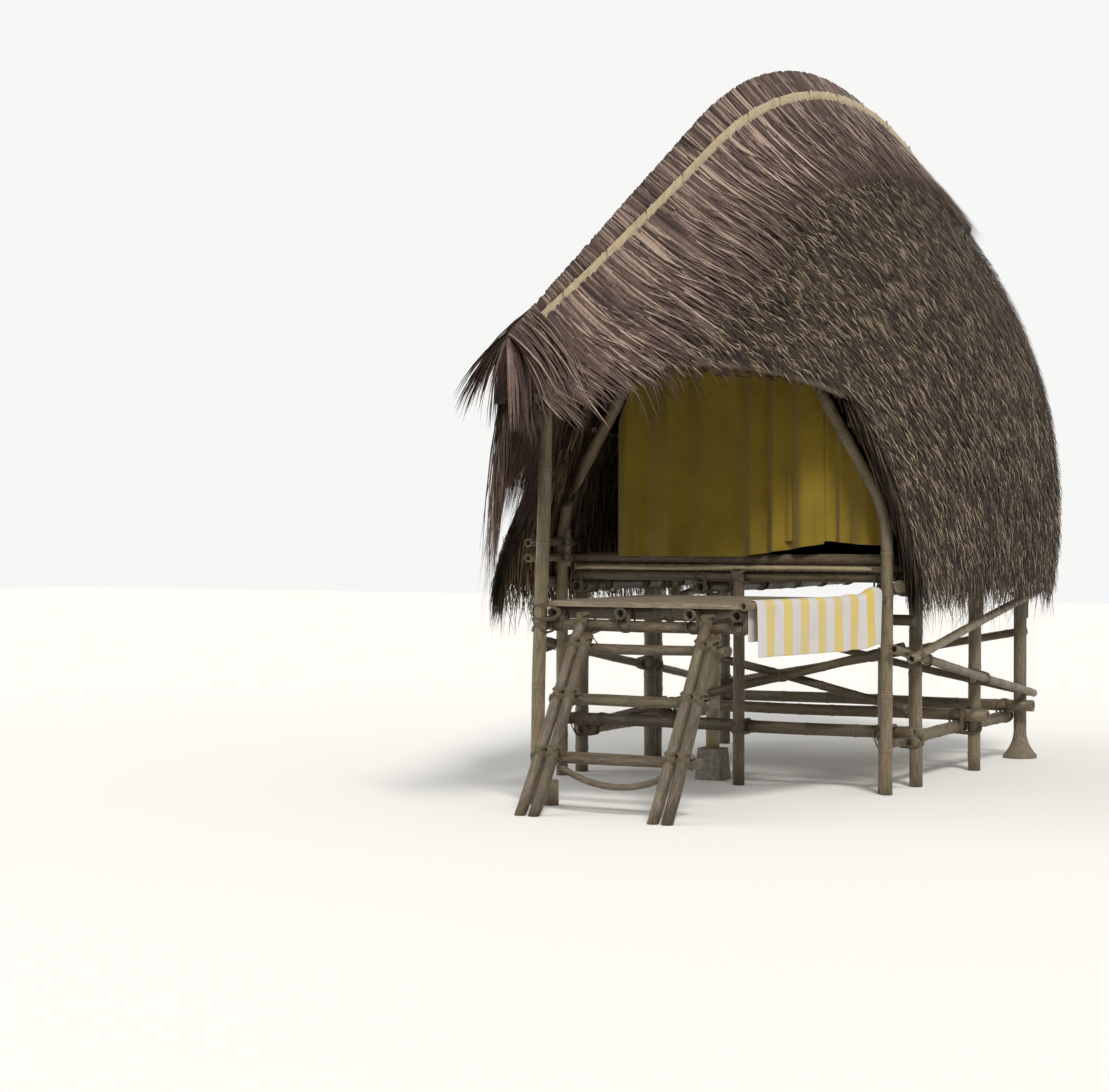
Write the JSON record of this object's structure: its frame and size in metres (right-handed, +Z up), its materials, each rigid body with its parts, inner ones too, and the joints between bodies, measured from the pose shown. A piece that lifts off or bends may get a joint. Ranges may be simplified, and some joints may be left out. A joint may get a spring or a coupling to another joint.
{
  "type": "stilt house",
  "caption": "Small stilt house of bamboo poles with a hog-backed palm thatch roof whose ridge droops forward into a hood over a porch and ladder.",
  "frame": {"origin": "on the ground under the middle of the roof's length, on the house's middle plane", "axes": "+X to the right seen from the porch, +Y from the porch to the back, +Z up"},
  "size_m": [2.4488, 5.41, 4.2437],
  "materials": {
    "thatch": "weathered palm thatch, matt",
    "ridge_leaves": "dry palm leaflets, matt",
    "gable_thatch": "shingled palm thatch, matt",
    "split_bamboo": "split bamboo, dry",
    "floor_bamboo": "worn split bamboo",
    "ladder_wood": "worn round wood",
    "frame_bamboo": "aged bamboo",
    "pole_bamboo": "weathered bamboo pole",
    "curtain_cloth": "mustard cotton cloth",
    "towel_cloth": "terry cloth, yellow and white stripes",
    "footing_stone": "rough concrete block"
  },
  "bodies": {
    "root": {"braces_front": "pole_bamboo", "braces_left": "pole_bamboo", "braces_rear": "pole_bamboo", "braces_right": "pole_bamboo", "cap_battens": "split_bamboo", "curtain_main": "curtain_cloth", "curtain_rod": "frame_bamboo", "curtain_side": "curtain_cloth", "floor_beams": "pole_bamboo", "floor_rails": "pole_bamboo", "floor_slats": "floor_bamboo", "footing_block": "footing_stone", "front_arch": "frame_bamboo", "hood_rim": "frame_bamboo", "inner_post": "pole_bamboo", "ladder_branch": "ladder_wood", "ladder_rails": "ladder_wood", "ladder_treads": "ladder_wood", "left_rails": "pole_bamboo", "low_beam_front": "pole_bamboo", "low_beams_cross": "pole_bamboo", "low_beams_side": "pole_bamboo", "middle_arch": "frame_bamboo", "porch_beams": "pole_bamboo", "porch_deck": "floor_bamboo", "porch_joists": "pole_bamboo", "porch_post": "pole_bamboo", "post_front_middle": "pole_bamboo", "post_front_right": "pole_bamboo", "post_left_second": "pole_bamboo", "post_left_third": "pole_bamboo", "post_rear_left": "pole_bamboo", "post_rear_right": "pole_bamboo", "post_right_second": "pole_bamboo", "post_right_third": "pole_bamboo", "purlins": "frame_bamboo", "rear_arch": "frame_bamboo", "rear_gable": "gable_thatch", "ridge_cap": "ridge_leaves", "ridge_pole": "frame_bamboo", "sill_beam": "pole_bamboo", "thatch_left": "thatch", "thatch_right": "thatch", "towel": "towel_cloth", "towel_rail": "pole_bamboo"}
  },
  "joints": []
}
